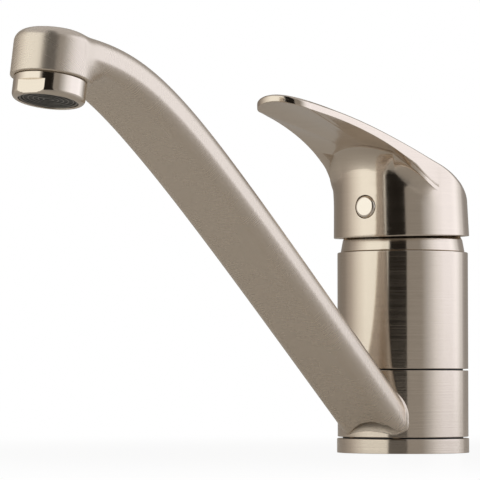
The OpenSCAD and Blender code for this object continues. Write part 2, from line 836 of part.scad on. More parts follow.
// Lever handle with its hollow skirt, stem socket and screw hole.
module handle() {
    socket = stem_side + 2 * seat_gap;
    socket_spare = 0.3;
    color("#cdbfae") difference() {
        handle_form();
        difference() {
            leaned() handle_cavity();
            at_stem() translate([0, 0, boss_start]) cylinder(r = boss_r, h = stem_len);
        }
        at_stem() translate([-socket / 2, -socket / 2, 0]) cube([socket, socket, stem_len + socket_spare]);
        translate([0, 0, button_h]) rotate([90, 0, 0]) {
            cylinder(r = screw_r + seat_gap, h = 2 * handle_r);
            translate([0, 0, button_seat]) cylinder(r = button_d / 2 + 2 * seat_gap, h = handle_r);
        }
    }
}

// Grub screw that bears on the stem, reached behind the index button.
module grub_screw() {
    key_d = 2.5;
    key_depth = 2.5;
    stem_face = (button_h - pivot_z) * tan(rest_tilt) + stem_side / 2 / cos(rest_tilt);
    tip_y = -stem_face - screw_r * tan(rest_tilt) - screw_gap;
    color("#8d9296") translate([0, tip_y, button_h]) rotate([90, 0, 0]) difference() {
        cylinder(r = screw_r, h = screw_len);
        translate([0, 0, screw_len - key_depth]) cylinder(d = key_d, h = key_depth + cut, $fn = 6);
    }
}

// Bright index button pushed into the handle's front.
module index_button() {
    bevel = 0.5;
    color("#efe9df") translate([0, -button_seat, button_h]) rotate([90, 0, 0])
        rotate_extrude() polygon([
            [0, seat_gap], [button_d / 2, seat_gap], [button_d / 2, button_t - bevel],
            [button_d / 2 - bevel, button_t], [0, button_t]]);
}

base_ring();
base_gasket();
core();
lower_washer();
upper_washer();
swivel_seals();
collar();
arm();
aerator_washer();
aerator_cage();
aerator_screen();
aerator_housing();
body();
port_seals();
cartridge_base();
cartridge_housing();
fixed_disc();
moving_disc();
disc_carrier();
stem_guide();
pivot_pin();
stem();
cartridge_nut();
dome_cover();
handle();
grub_screw();
index_button();
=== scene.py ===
import math

import bpy
import numpy as np
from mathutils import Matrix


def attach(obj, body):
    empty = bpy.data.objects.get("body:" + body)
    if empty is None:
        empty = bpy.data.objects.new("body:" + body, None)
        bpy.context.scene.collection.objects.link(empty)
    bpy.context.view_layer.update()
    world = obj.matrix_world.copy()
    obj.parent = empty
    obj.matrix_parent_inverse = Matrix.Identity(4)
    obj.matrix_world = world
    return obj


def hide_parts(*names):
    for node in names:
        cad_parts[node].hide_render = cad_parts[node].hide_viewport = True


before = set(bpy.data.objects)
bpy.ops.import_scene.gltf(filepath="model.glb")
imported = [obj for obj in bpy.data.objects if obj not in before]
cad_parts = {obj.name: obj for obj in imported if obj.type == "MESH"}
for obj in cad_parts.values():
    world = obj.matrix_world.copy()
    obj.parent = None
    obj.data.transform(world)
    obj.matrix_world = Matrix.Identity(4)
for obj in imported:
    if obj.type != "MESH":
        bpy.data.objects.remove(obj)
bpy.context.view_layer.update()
scene = bpy.context.scene
scene.view_settings.view_transform = "Standard"

# Camera
# A long lens a little over a metre away and 28 mm above the sink deck, 35 degrees to the right
# of the spout, tipped up so that the foot and the top of the spout both stay in view.
side_angle = math.radians(35)
toward = np.array([math.sin(side_angle), -math.cos(side_angle), 0.0])
right = np.array([math.cos(side_angle), math.sin(side_angle), 0.0])
eye_away, eye_left, eye_height = 1.115, 0.0624, 0.0278
eye = toward * eye_away - right * eye_left + np.array([0, 0, eye_height])
tip_up = math.radians(2.75)
focal_px, frame_px, sensor_mm = 2907, 480, 36
camera_data = bpy.data.cameras.new("camera")
camera_data.sensor_width = sensor_mm
camera_data.lens = sensor_mm * focal_px / frame_px
camera_data.clip_start = 0.05
camera_data.clip_end = 30
camera = bpy.data.objects.new("camera", camera_data)
camera.location = eye
camera.rotation_euler = (math.pi / 2 + tip_up, 0, side_angle)
scene.collection.objects.link(camera)
scene.camera = camera


# Studio
# A pale floor inside a ring of soft boxes and grey cards, as for a catalogue picture of
# bright metal: wide lights left and right, and a black flag between them towards the camera.
def add(tree, kind, values=(), **settings):
    """A node of the tree with its settings and, by socket name or number, a value or a link."""
    node = tree.nodes.new("ShaderNode" + kind)
    for key, value in settings.items():
        setattr(node, key, value)
    for key, value in dict(values).items():
        if isinstance(value, bpy.types.NodeSocket):
            tree.links.new(value, node.inputs[key])
        else:
            node.inputs[key].default_value = value
    return node


def empty_tree(holder):
    """The node tree of a material or world, switched on and cleared."""
    holder.use_nodes = True
    holder.node_tree.nodes.clear()
    return holder.node_tree


def grid_faces(rows, cols, wrap_rows=False, wrap_cols=True):
    """Quads of a grid of points: point (r, c), its neighbours in the next column and the next row,
    and the one across, the last row or column going on to the first where it wraps."""
    r = np.arange(rows if wrap_rows else rows - 1)
    c = np.arange(cols if wrap_cols else cols - 1)
    r, c = (a.ravel() for a in np.meshgrid(r, c, indexing="ij"))
    r2, c2 = (r + 1) % rows, (c + 1) % cols
    return np.stack([r * cols + c, r * cols + c2, r2 * cols + c2, r2 * cols + c], 1)


def make_mesh(name, points, faces, uv=None, sharp=40):
    """A smooth-shaded mesh object from an array of points in metres and a list of faces, sharp
    where two faces meet at more than that many degrees."""
    mesh = bpy.data.meshes.new(name)
    mesh.from_pydata(np.asarray(points).reshape(-1, 3).tolist(), [], faces)
    mesh.shade_smooth()
    if sharp:
        mesh.set_sharp_from_angle(angle=math.radians(sharp))
    if uv is not None:
        layer = mesh.uv_layers.new(name="UVMap")
        corner = np.empty(len(mesh.loops), np.int32)
        mesh.loops.foreach_get("vertex_index", corner)
        layer.data.foreach_set("uv", np.asarray(uv, np.float32).reshape(-1, 2)[corner].ravel())
    piece = bpy.data.objects.new(name, mesh)
    scene.collection.objects.link(piece)
    return piece


def card(name, points, low, high, colours):
    """Upright glowing card that the camera doesn't see: a chain of plan points, its lower edge, its
    upper edge (one value or one for each point), and a colour for each point."""
    n = len(points)
    top = points + np.outer(np.broadcast_to(high, n), [0, 0, 1])
    rows = np.stack([points + [0, 0, low], top])
    piece = make_mesh(name, rows, grid_faces(2, n, wrap_cols=False).tolist(), sharp=0)
    layer = piece.data.color_attributes.new("light", "FLOAT_COLOR", "POINT")
    colour = np.concatenate([np.asarray(colours, float), np.ones((n, 1))], 1)
    layer.data.foreach_set("color", np.concatenate([colour, colour]).astype(np.float32).ravel())
    material = bpy.data.materials.new(name)
    tree = empty_tree(material)
    light = add(tree, "VertexColor", layer_name="light")
    glow = add(tree, "Emission", {"Color": light.outputs["Color"], "Strength": 1.0})
    add(tree, "OutputMaterial", {"Surface": glow.outputs[0]})
    piece.data.materials.append(material)
    piece.visible_camera = False


# The ring's light by angle, in degrees to the right of the camera's direction, and how far away
# it stands at each angle. The farther parts are taller, so the upper edge looks level.
top_edge, ring_foot = 2.75, -0.2
warm, cool, low_tone = [1.15, 1.15, 1.10], [1.22, 1.24, 1.38], [0.31, 0.29, 0.27]
lights = [(-200, low_tone), (-144, [0.25, 0.225, 0.20]), (-126, [0.29, 0.26, 0.235]),
          (-106, [0.52, 0.48, 0.44]), (-86, [0.94, 0.91, 0.86]), (-72, warm), (-32, warm),
          (-27, low_tone), (30, low_tone), (43, [0.60, 0.60, 0.62]), (57, [1.0, 1.01, 1.08]),
          (74, cool), (92, cool), (104, [1.32, 1.35, 1.50]), (112, [1.15, 1.17, 1.27]),
          (118, [0.88, 0.89, 0.95]), (125, [0.80, 0.80, 0.84]), (129, [0.46, 0.45, 0.46]),
          (140, [0.34, 0.32, 0.31]), (160, low_tone)]
stops = np.array([k[0] for k in lights])
tones = np.array([k[1] for k in lights])
farthest, left_wall, right_wall = 3, 1.05, 1.4
angles = np.linspace(-200, 160, 181)
turn = np.radians(angles)
ring_away = np.interp(angles, [-200, -170, -60, -34, 70, 98, 140, 160],
                      [farthest, left_wall, left_wall, farthest, farthest, right_wall, right_wall, farthest])
ring_way = np.multiply.outer(np.sin(turn), right) + np.multiply.outer(np.cos(turn), toward)
ring_colours = np.stack([np.interp(angles, stops, channel) for channel in tones.T], 1)
card("soft_box_ring", ring_away[:, None] * ring_way, ring_foot, top_edge * ring_away / farthest, ring_colours)

black = [0.015, 0.013, 0.011]
flag_ends = np.stack([0.4036 * toward - 0.212 * right, 0.795 * toward + 0.058 * right])
card("black_flag", flag_ends, 0.0, 1.6, [black, black])

ceiling_half = 3.4
ceiling_u, ceiling_v = np.meshgrid(np.linspace(-1, 1, 3), np.linspace(-1, 1, 3), indexing="ij")
ceiling_points = np.stack([ceiling_u * ceiling_half, ceiling_v * ceiling_half, 0 * ceiling_u + top_edge], -1)
ceiling = make_mesh("ceiling_card", ceiling_points, grid_faces(3, 3, wrap_cols=False).tolist(), sharp=0)
ceiling_paint = bpy.data.materials.new("ceiling_card")
tree = empty_tree(ceiling_paint)
glow = add(tree, "Emission", {"Color": (0.52, 0.51, 0.52, 1), "Strength": 1.0})
add(tree, "OutputMaterial", {"Surface": glow.outputs[0]})
ceiling.data.materials.append(ceiling_paint)
ceiling.visible_camera = False

# The floor is warm grey paint to the light and close to white to the eye, wholly so far away.
# A tenth of that white also shows in the metal.
floor_radii = [0.001, 0.3, 1, 3, 9]
floor_sides, floor_sunk, mirrored_white = 96, 0.0002, 0.10
floor_turn = np.linspace(0, 2 * math.pi, floor_sides, endpoint=False)
floor_a, floor_r = np.meshgrid(floor_turn, floor_radii, indexing="xy")
floor_points = np.stack([floor_r * np.cos(floor_a), floor_r * np.sin(floor_a), 0 * floor_a - floor_sunk], -1)
floor_faces = grid_faces(len(floor_radii), floor_sides).tolist() + [list(range(floor_sides))]
floor = make_mesh("floor", floor_points, floor_faces, sharp=0)
floor_paint = bpy.data.materials.new("floor")
tree = empty_tree(floor_paint)
rays = add(tree, "LightPath")
place = add(tree, "TexCoord")
from_tap = add(tree, "VectorMath", {0: place.outputs["Object"]}, operation="LENGTH")
share = add(tree, "MapRange", {"Value": from_tap.outputs["Value"], "From Min": 0.06, "From Max": 0.4,
                               "To Min": 0.93, "To Max": 1.0}, interpolation_type="SMOOTHSTEP")
mirrored = add(tree, "Math", {0: rays.outputs["Is Glossy Ray"], 1: rays.outputs["Is Transmission Ray"]},
               operation="MAXIMUM")
mirrored = add(tree, "Math", {0: mirrored.outputs[0], 1: mirrored_white}, operation="MULTIPLY")
shown = add(tree, "Math", {0: rays.outputs["Is Camera Ray"], 1: share.outputs[0], 2: mirrored.outputs[0]},
            operation="MULTIPLY_ADD")
paint = add(tree, "BsdfPrincipled", {"Base Color": (0.52, 0.48, 0.42, 1), "Roughness": 0.22})
white = add(tree, "Emission", {"Color": (1, 1, 1, 1), "Strength": 1.0})
both = add(tree, "MixShader", {0: shown.outputs[0], 1: paint.outputs[0], 2: white.outputs[0]})
add(tree, "OutputMaterial", {"Surface": both.outputs[0]})
floor.data.materials.append(floor_paint)

# The world is white to the eye and in mirrors, and half as bright as a light.
world = bpy.data.worlds.new("backdrop")
tree = empty_tree(world)
rays = add(tree, "LightPath")
shown = add(tree, "Math", {0: rays.outputs["Is Camera Ray"], 1: rays.outputs["Is Glossy Ray"]},
            operation="MAXIMUM")
shown = add(tree, "Math", {0: shown.outputs[0], 1: rays.outputs["Is Transmission Ray"]}, operation="MAXIMUM")
level = add(tree, "MapRange", {"Value": shown.outputs[0], "To Min": 0.5, "To Max": 1.0})
sky = add(tree, "Background", {"Color": (1, 1, 1, 1), "Strength": level.outputs[0]})
add(tree, "OutputWorld", {"Surface": sky.outputs[0]})
scene.world = world


# Foot ring
# The ring that stands on the deck: turned brass, nickel plated and brushed round, its upper
# edge broken. It drops over the core's flange and is held down by it.
mm = 0.001


def rounded_profile(corners, spacing=1.0):
    """Closed outline through corners (radius out, height, corner radius) in millimetres, each
    corner replaced by an arc tangent to both its sides, and each straight run divided, with one
    more point close to each of its ends so that its shading stays flat. A corner that bends
    nothing stays a point."""
    arc_points, end_gap, long_run = 7, 0.08, 0.4
    c = np.array([k[:2] for k in corners], float)
    before, after = np.roll(c, 1, 0) - c, np.roll(c, -1, 0) - c
    before /= np.linalg.norm(before, axis=1)[:, None]
    after /= np.linalg.norm(after, axis=1)[:, None]
    half = np.arccos(np.clip((before * after).sum(1), -1, 1)) / 2
    points = []
    for corner, back, ahead, h, (_, _, r) in zip(c, before, after, half, corners):
        if h > math.pi / 2 - 1e-6:
            points.append(corner[None])
            continue
        reach = r / math.tan(h)
        middle = back + ahead
        centre = corner + middle / np.linalg.norm(middle) * r / math.sin(h)
        start, stop = corner + back * reach - centre, corner + ahead * reach - centre
        turn = math.atan2(start[0] * stop[1] - start[1] * stop[0], start @ stop)
        a = np.linspace(0, turn, arc_points)[:, None]
        points.append(centre + np.cos(a) * start + np.sin(a) * np.array([-start[1], start[0]]))
    outline = []
    for run, following in zip(points, points[1:] + points[:1]):
        gap = following[0] - run[-1]
        length = np.linalg.norm(gap)
        steps = np.linspace(0, 1, max(2, int(length / spacing) + 1))[1:-1]
        ends = np.array([end_gap, length - end_gap]) / length if length > long_run else np.array([])
        steps = np.unique(np.concatenate([steps, ends]))[:, None]
        outline += [run, run[-1] + steps * gap]
    return np.concatenate(outline)


def lathe(corners, around, spacing=1.0, trim=None):
    """Surface of revolution, in millimetres: the point at profile distance s and angle a is
    (r(s) cos a, r(s) sin a, z(s)), its radius trimmed where a flat is cut."""
    profile = rounded_profile(corners, spacing)
    a = np.linspace(0, 2 * math.pi, around, endpoint=False)
    r, z = profile[:, 0][:, None] + 0 * a, profile[:, 1][:, None] + 0 * a
    if trim is not None:
        r = trim(r, z, a)
    area = profile[:, 0] @ (np.roll(profile[:, 1], -1) - np.roll(profile[:, 1], 1))
    faces = grid_faces(len(profile), around, wrap_rows=True)
    return np.stack([r * np.cos(a), r * np.sin(a), z], -1), faces if area < 0 else faces[:, ::-1]


def turned(name, corners, around=224, place=None, spacing=1.0, trim=None):
    """A lathe piece, its points turned and moved by the matrix of its place."""
    points, faces = lathe(corners, around, spacing, trim)
    if place is not None:
        points = points @ place[:3, :3].T + place[:3, 3]
    return make_mesh(name, points * mm, faces.tolist())


def grain_group():
    """Brushing: long thin streaks across the last axis of Grain, over broad soft clouds at Place.
    Colour is the metal times one plus the streaks and clouds, roughness rises and falls with
    both, and the bump follows the streaks."""
    group = bpy.data.node_groups.new("brushed_grain", "ShaderNodeTree")
    number, vector, colour = "NodeSocketFloat", "NodeSocketVector", "NodeSocketColor"
    taken_in = [("Grain", vector), ("Place", vector), ("Metal", colour), ("Roughness", number),
                ("Streaks", number), ("Depth", number)]
    for label, kind in taken_in:
        group.interface.new_socket(label, in_out="INPUT", socket_type=kind)
    for label, kind in (("Color", colour), ("Roughness", number), ("Normal", vector)):
        group.interface.new_socket(label, in_out="OUTPUT", socket_type=kind)
    given = group.nodes.new("NodeGroupInput").outputs
    result = group.nodes.new("NodeGroupOutput")
    fine = add(group, "TexNoise", {"Vector": given["Grain"], "Scale": 1.0, "Detail": 2.0, "Roughness": 0.6})
    wide = add(group, "TexNoise", {"Vector": given["Grain"], "Scale": 0.31, "Detail": 2.0, "Roughness": 0.5})
    cloud = add(group, "TexNoise", {"Vector": given["Place"], "Scale": 70.0, "Detail": 3.0,
                                    "Roughness": 0.55})
    fine, wide, cloud = (add(group, "Math", {0: noise.outputs[0], 1: 0.5}, operation="SUBTRACT")
                         for noise in (fine, wide, cloud))

    def scaled_sum(a, b, c):
        """a times b plus c."""
        return add(group, "Math", {0: a, 1: b, 2: c}, operation="MULTIPLY_ADD").outputs[0]

    streak = scaled_sum(wide.outputs[0], 0.25, fine.outputs[0])
    tone = scaled_sum(cloud.outputs[0], 0.3, streak)
    tone = scaled_sum(tone, given["Streaks"], 1.0)
    shade = add(group, "VectorMath", {0: given["Metal"], "Scale": tone}, operation="SCALE")
    rough = add(group, "Math", {0: streak, 1: given["Streaks"]}, operation="MULTIPLY")
    rough = scaled_sum(rough.outputs[0], 1.2, given["Roughness"])
    rough = scaled_sum(cloud.outputs[0], 0.06, rough)
    bump = add(group, "Bump", {"Strength": given["Depth"], "Distance": 0.00002, "Height": streak})
    group.links.new(shade.outputs["Vector"], result.inputs["Color"])
    group.links.new(rough, result.inputs["Roughness"])
    group.links.new(bump.outputs[0], result.inputs["Normal"])
    return group


brushed_grain = grain_group()


def plated(name, metal, roughness, streaks, depth, stretch, uv=False, metallic=1.0, drawn=0.0, shade_attribute=None):
    """Brushed or polished plate: the grain group over the piece, stretched by a scale per axis, and
    reflections drawn out across the turning by that much. Where the point attribute given for
    painted shade is 1, the plate is painted darker, to 0.38 of its lightness."""
    material = bpy.data.materials.new(name)
    tree = empty_tree(material)
    place = add(tree, "TexCoord")
    source = place.outputs["UV"] if uv else place.outputs["Object"]
    grain = add(tree, "Mapping", {"Vector": source, "Scale": stretch})
    look = add(tree, "Group", node_tree=brushed_grain)
    tree.links.new(grain.outputs[0], look.inputs["Grain"])
    tree.links.new(place.outputs["Object"], look.inputs["Place"])
    for key, value in (("Metal", (*metal, 1)), ("Roughness", roughness), ("Streaks", streaks),
                       ("Depth", depth)):
        look.inputs[key].default_value = value
    skin = add(tree, "BsdfPrincipled", {"Base Color": look.outputs["Color"], "Metallic": metallic,
                                        "Roughness": look.outputs["Roughness"],
                                        "Normal": look.outputs["Normal"]})
    # Painted shade: the colour is darkened where the given attribute is 1.
    if shade_attribute:
        painted_shade = add(tree, "Attribute", attribute_name=shade_attribute)
        light = add(tree, "MapRange", {"Value": painted_shade.outputs["Fac"], "To Min": 1.0, "To Max": 0.38})
        darker = add(tree, "VectorMath", {0: look.outputs["Color"], "Scale": light.outputs[0]},
                     operation="SCALE")
        tree.links.new(darker.outputs["Vector"], skin.inputs["Base Color"])
    if drawn:
        turning = add(tree, "Tangent", direction_type="RADIAL", axis="Z")
        tree.links.new(turning.outputs[0], skin.inputs["Tangent"])
        skin.inputs["Anisotropic"].default_value = drawn
        skin.inputs["Anisotropic Rotation"].default_value = 0.25
    add(tree, "OutputMaterial", {"Surface": skin.outputs[0]})
    return material


def dress(piece, body, slot, material, *replaced):
    """Gives a finished piece its material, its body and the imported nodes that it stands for."""
    piece.data.materials.append(material)
    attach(piece, body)
    if replaced:
        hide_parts(*replaced)


nickel = (0.72, 0.635, 0.535)
round_brushed = plated("nickel_brushed_round", nickel, 0.15, 0.16, 0.35, (30, 30, 3600), drawn=0.85)
foot = turned("foot_ring", [(20.3, 4.85, 0.05), (22.05, 4.85, 0.05), (22.05, 1.2, 0.05), (23.65, 1.2, 0.05),
                            (23.65, 0, 0.05), (25.25, 0, 0.12), (25.25, 5.5, 0.35), (20.3, 5.5, 0.1)])
dress(foot, "column", "nickel_satin", round_brushed, "base_ring")


# Deck gasket, washers and seals
# Black moulded rubber under the foot, in the swivel and in the cartridge's ports, and dark
# acetal slip washers that show as the two thin seams. All are simply laid or pressed in.
def moulded(name, colour, roughness, mottle, size, bump, metallic=0.0):
    """Moulded or cast stuff: one fine noise of that scale runs the colour from 1 - mottle to
    1 + mottle times its value, the roughness a little down and up, and a shallow bump."""
    rough_spread = 0.06
    material = bpy.data.materials.new(name)
    tree = empty_tree(material)
    place = add(tree, "TexCoord")
    noise = add(tree, "TexNoise", {"Vector": place.outputs["Object"], "Scale": size, "Detail": 4.0,
                                   "Roughness": 0.6})
    shade = add(tree, "ValToRGB", {"Fac": noise.outputs[0]})
    dark, light = shade.color_ramp.elements
    dark.position, light.position = 0.3, 0.7
    dark.color = tuple(c * (1 - mottle) for c in colour) + (1,)
    light.color = tuple(min(1.0, c * (1 + mottle)) for c in colour) + (1,)
    rough = add(tree, "MapRange", {"Value": noise.outputs[0], "To Min": roughness - rough_spread,
                                   "To Max": roughness + rough_spread})
    relief = add(tree, "Bump", {"Strength": bump, "Distance": 0.00004, "Height": noise.outputs[0]})
    skin = add(tree, "BsdfPrincipled", {"Base Color": shade.outputs[0], "Metallic": metallic,
                                        "Roughness": rough.outputs[0], "Normal": relief.outputs[0]})
    add(tree, "OutputMaterial", {"Surface": skin.outputs[0]})
    return material


def repaint(material, *names):
    """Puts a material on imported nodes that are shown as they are."""
    for name in names:
        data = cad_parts[name].data
        if not data.materials:
            data.materials.append(material)
        for i in range(len(data.materials)):
            data.materials[i] = material


black_rubber = moulded("black_rubber", (0.022, 0.021, 0.020), 0.62, 0.35, 900, 0.4)
dark_acetal = moulded("dark_acetal", (0.030, 0.028, 0.026), 0.45, 0.25, 700, 0.3)
repaint(black_rubber, "base_gasket", "swivel_seals", "aerator_washer", "port_seals")
repaint(dark_acetal, "lower_washer", "upper_washer")

# Core
# Turned brass: foot flange, swivel post with its water ring and seal grooves, cartridge seat
# and the three threaded holes underneath. Everything else is mounted on it.
turned_brass = plated("turned_brass", (0.60, 0.43, 0.18), 0.30, 0.18, 0.5, (40, 40, 2500))
repaint(turned_brass, "core", "cartridge_nut")

# Collar
# The turning ring that carries the spout: turned brass, nickel plated, brushed round, free
# on the core between the two slip washers.
collar_r = 25.0
ring = turned("collar_ring", [(20.08, 6.1, 0.05), (collar_r, 6.1, 0.18), (collar_r, 31.3, 0.18),
                              (20.08, 31.3, 0.05)])
dress(ring, "spout", "nickel_satin", round_brushed, "collar")


# Spout arm and head
# One hollow casting, plated and satin brushed: a flat oval arm that rises out of the collar,
# bends near its end and runs into the round head. A thin bead of braze joins it to the collar.
def mix(a, b, t):
    """Straight blend: a plus t times what b has more than a."""
    return a + (b - a) * t


def smooth(t):
    """Eased step from zero to one: three times t squared less twice t cubed."""
    t = np.clip(t, 0, 1)
    return t * t * (3 - 2 * t)


# The outlet's middle and tilt, the arm's width and thickness and its thickness at the head, and
# the head's radius, the rounding of its top edge, and its top and rim above the outlet.
reach, outlet_z, outlet_tilt = 217.0, 118.0, math.radians(10)
arm_w, arm_t, tip_t = 28.6, 13.2, 10.4
head_r, head_round, head_top, head_rim = 13.3, 3.9, 22.18, 6.9
outlet = np.array([reach, outlet_z])
axis_up = np.array([-math.sin(outlet_tilt), math.cos(outlet_tilt)])
axis_out = np.array([math.cos(outlet_tilt), math.sin(outlet_tilt)])

# The control points of the arm's middle line, as distance out and height.
root = np.array([collar_r, 16.6])
arm_end = np.array([reach - 16.9 * math.tan(outlet_tilt), outlet_z + 15.8])
knee = np.array([reach - 42.6, arm_end[1] - 2.9])
bend = root + (knee - root) * 0.9


def centreline(t):
    """Distance out and height of the arm's middle: a cubic curve through root, bend, knee and end."""
    t = np.asarray(t, float)[..., None]
    return root * (1 - t) ** 3 + 3 * bend * t * (1 - t) ** 2 + 3 * knee * t ** 2 * (1 - t) + arm_end * t ** 3


def slope(t):
    """Rate of change of the centreline with t: three times the blend of the steps between its
    four points."""
    t = np.asarray(t, float)[..., None]
    return 3 * ((bend - root) * (1 - t) ** 2 + 2 * (knee - bend) * t * (1 - t) + (arm_end - knee) * t ** 2)


def heading(t):
    """Unit tangent of the centreline: its slope over the slope's length."""
    d = slope(t)
    return d / np.linalg.norm(d, axis=-1, keepdims=True)


def square_up(d):
    """Unit vectors square to d on its upper side: d turned back by a quarter turn."""
    return np.stack([-d[..., 1], d[..., 0]], -1)


line_t = np.linspace(0, 1, 110)
line_p = centreline(line_t)
widen_from, widen_over = 0.43, 0.57
root_edge, tip_edge, edge_from, edge_over = 0.86, 0.72, 0.1, 0.8
top_fall, top_level_from = 0.008, 6
fillet_least, fillet_more = 0.9, 6.5


def spout_field(x, q):
    """Signed distance from the spout's skin, negative inside, at half width x and point q (distance
    out, height). The arm is a box as wide and thick as its place t on the centreline says, with
    rounded edges; the head is a cylinder with a rounded top that falls off towards the arm. The
    smaller of the two is taken, less a quarter of the fillet where they are near each other, and
    the fillet is full where their faces are square to each other and least where they are level."""
    t = line_t[((q[..., None, :] - line_p) ** 2).sum(-1).argmin(-1)]
    for _ in range(3):
        d = slope(t)
        t = np.clip(t + ((q - centreline(t)) * d).sum(-1) / (d * d).sum(-1), 0, 1)
    offset, d = q - centreline(t), heading(t)
    up_arm = square_up(d)
    n = (offset * up_arm).sum(-1)
    k = smooth((t - widen_from) / widen_over)
    w, h = mix(arm_w, 2 * head_r, k), mix(arm_t, tip_t, k)
    edge = h / 2 * mix(root_edge, tip_edge, smooth((t - edge_from) / edge_over))
    ax, an = np.abs(x) - w / 2 + edge, np.abs(n) - h / 2 + edge
    at_corner = (ax > 0) & (an > 0)
    arm_len = np.hypot(ax, an) + 1e-9
    side_x = np.where(at_corner, ax / arm_len, ax > an)
    side_n = np.where(at_corner, an / arm_len, ax <= an) * np.sign(n)
    arm = np.where(at_corner, arm_len, np.maximum(ax, an)) - edge
    arm = np.maximum(arm, np.where(t >= 1, (offset * d).sum(-1), -99))
    up, out = (q - outlet) @ axis_up, (q - outlet) @ axis_out
    rho = np.hypot(x, out) + 1e-9
    fall = top_fall * np.maximum(top_level_from - out, 0) ** 2
    hx, hz = rho - (head_r - head_round), up - (head_top - head_round) + fall
    past_edge = (hx > 0) | (hz > 0)
    corner = np.hypot(np.maximum(hx, 0), np.maximum(hz, 0)) + 1e-9
    head = np.where(past_edge, corner, np.maximum(hx, hz)) - head_round
    gx = np.where(past_edge, np.maximum(hx, 0) / corner, 1.0)
    gz = np.where(past_edge, np.maximum(hz, 0) / corner, 0.0)
    head_n = gx[..., None] * (out / rho)[..., None] * axis_out + gz[..., None] * axis_up
    level = side_x * np.abs(x) / rho * gx + side_n * (up_arm * head_n).sum(-1)
    fillet = fillet_least + fillet_more * np.clip(1 - level, 0, 1)
    near = np.maximum(fillet - np.abs(arm - head), 0) / fillet
    return np.minimum(arm, head) - near * near * fillet / 4


# Sections square to the arm at first, then turning about a pivot under the neck to lie square
# to the head's axis, then going down the head to just above its rim. The pivot is a little below
# and behind the inner corner of arm and head.
pivot_down, pivot_back, rim_gap = 3.2, 2.2, 0.5
sample = np.linspace(0.3, 1, 700)
thick = mix(arm_t, tip_t, smooth((sample - widen_from) / widen_over))
under_side = centreline(sample) - square_up(heading(sample)) * thick[:, None] / 2
neck = under_side[((under_side - outlet) @ axis_out > -head_r).argmax()]
pivot = neck - pivot_down * axis_up - pivot_back * axis_out
fan_t = sample[np.abs(((pivot - centreline(sample)) * heading(sample)).sum(1)).argmin()]
first_t, arm_rows, fan_rows, head_rows, below_arm = 0.06, 129, 80, 4, 20
straight_t = np.linspace(first_t, fan_t, arm_rows + 1)[:-1]
arm_up = square_up(heading(straight_t))
fan_up = square_up(heading(fan_t))
fan_a = np.linspace(math.atan2(fan_up[1], fan_up[0]), math.atan2(axis_out[1], axis_out[0]), fan_rows)
fan_way = np.stack([np.cos(fan_a), np.sin(fan_a)], 1)
drop = np.linspace(0, (pivot - outlet) @ axis_up - head_rim - rim_gap, head_rows + 1)[1:]
row_base = np.concatenate([centreline(straight_t) - below_arm * arm_up,
                           np.repeat(pivot[None], fan_rows, 0), pivot - drop[:, None] * axis_up])
row_dir = np.concatenate([arm_up, fan_way, np.repeat(axis_out[None], head_rows, 0)])

# The middle of each section: halfway between the first and the last point inside the spout.
probe_long, probe_count = 46, 461
probe = np.linspace(0, probe_long, probe_count)
probe_q = row_base[:, None] + probe[:, None] * row_dir[:, None]
inside = spout_field(np.zeros((len(row_base), probe_count)), probe_q) < 0
first, last = inside.argmax(1), probe_count - 1 - inside[:, ::-1].argmax(1)
middle = (probe[first] + probe[last]) / 2
middle[arm_rows + fan_rows:] = (outlet - pivot) @ axis_out

# The skin: along rays from each middle, the place where the field is nought, by halving.
columns, longest_ray, halvings = 176, 22.0, 17
ray = np.linspace(0, 2 * math.pi, columns, endpoint=False) + math.pi / 2


def on_rays(r):
    """Half width and section point at distance r from each row's middle along each ray: r times
    the ray's cosine across, and the middle plus r times its sine along the row's direction."""
    along_row = middle[:, None] + r * np.sin(ray)
    return r * np.cos(ray), row_base[:, None] + along_row[..., None] * row_dir[:, None]


low, high = np.zeros((len(row_base), columns)), np.full((len(row_base), columns), longest_ray)
for _ in range(halvings):
    r = (low + high) / 2
    outside = spout_field(*on_rays(r)) > 0
    low, high = np.where(outside, low, r), np.where(outside, r, high)
skin_x, skin_q = on_rays((low + high) / 2)

# Root: each line of the skin is carried down the arm to the collar's cylinder, with a bead
# round its sides and top, and a shallow scoop under it whose far edge is an arc. Each line has
# its outward direction, across and square to the arm, and below is 1 where it is underneath.
d0 = heading(straight_t[0])
n0 = square_up(d0)
x0, q0 = skin_x[0], skin_q[0]
flat_half = (arm_w - arm_t) / 2
out_x = np.sign(x0) * np.maximum(np.abs(x0) - flat_half, 0) / (arm_t / 2)
out_n = ((q0 - centreline(straight_t[0])) @ n0) / (arm_t / 2)
below = smooth((-out_n - 0.35) / 0.4)
scoop_x, scoop_long = [-9.5, -6, -1, 6, 10.5, 12, 13], [0.01, 2.2, 4.8, 7.0, 6.2, 2.5, 0.01]
scoop = np.interp(x0, scoop_x, scoop_long) * below
scoop_depth, least_scoop = 1.25, 0.6


def to_collar(x, base, radius):
    """Travel from base along the arm to the cylinder of that radius round the tap's axis: what
    the root of radius squared less x squared has more than base, over the arm's outward part."""
    return (np.sqrt(radius ** 2 - x ** 2) - base[..., 0]) / d0[0]


def root_row(travel, swell):
    """The skin's lines at that travel, swollen outwards for the bead and hollowed by the scoop,
    a parabola over its length."""
    grow = swell * (1 - below)
    x = x0 + grow * out_x
    base = q0 + (grow * out_n)[:, None] * n0
    s = np.clip((travel - collar_travel) / np.maximum(scoop, 0.01), 0, 1)
    return x, base + travel[:, None] * d0 + (scoop_depth * scoop * s * (1 - s))[:, None] * n0


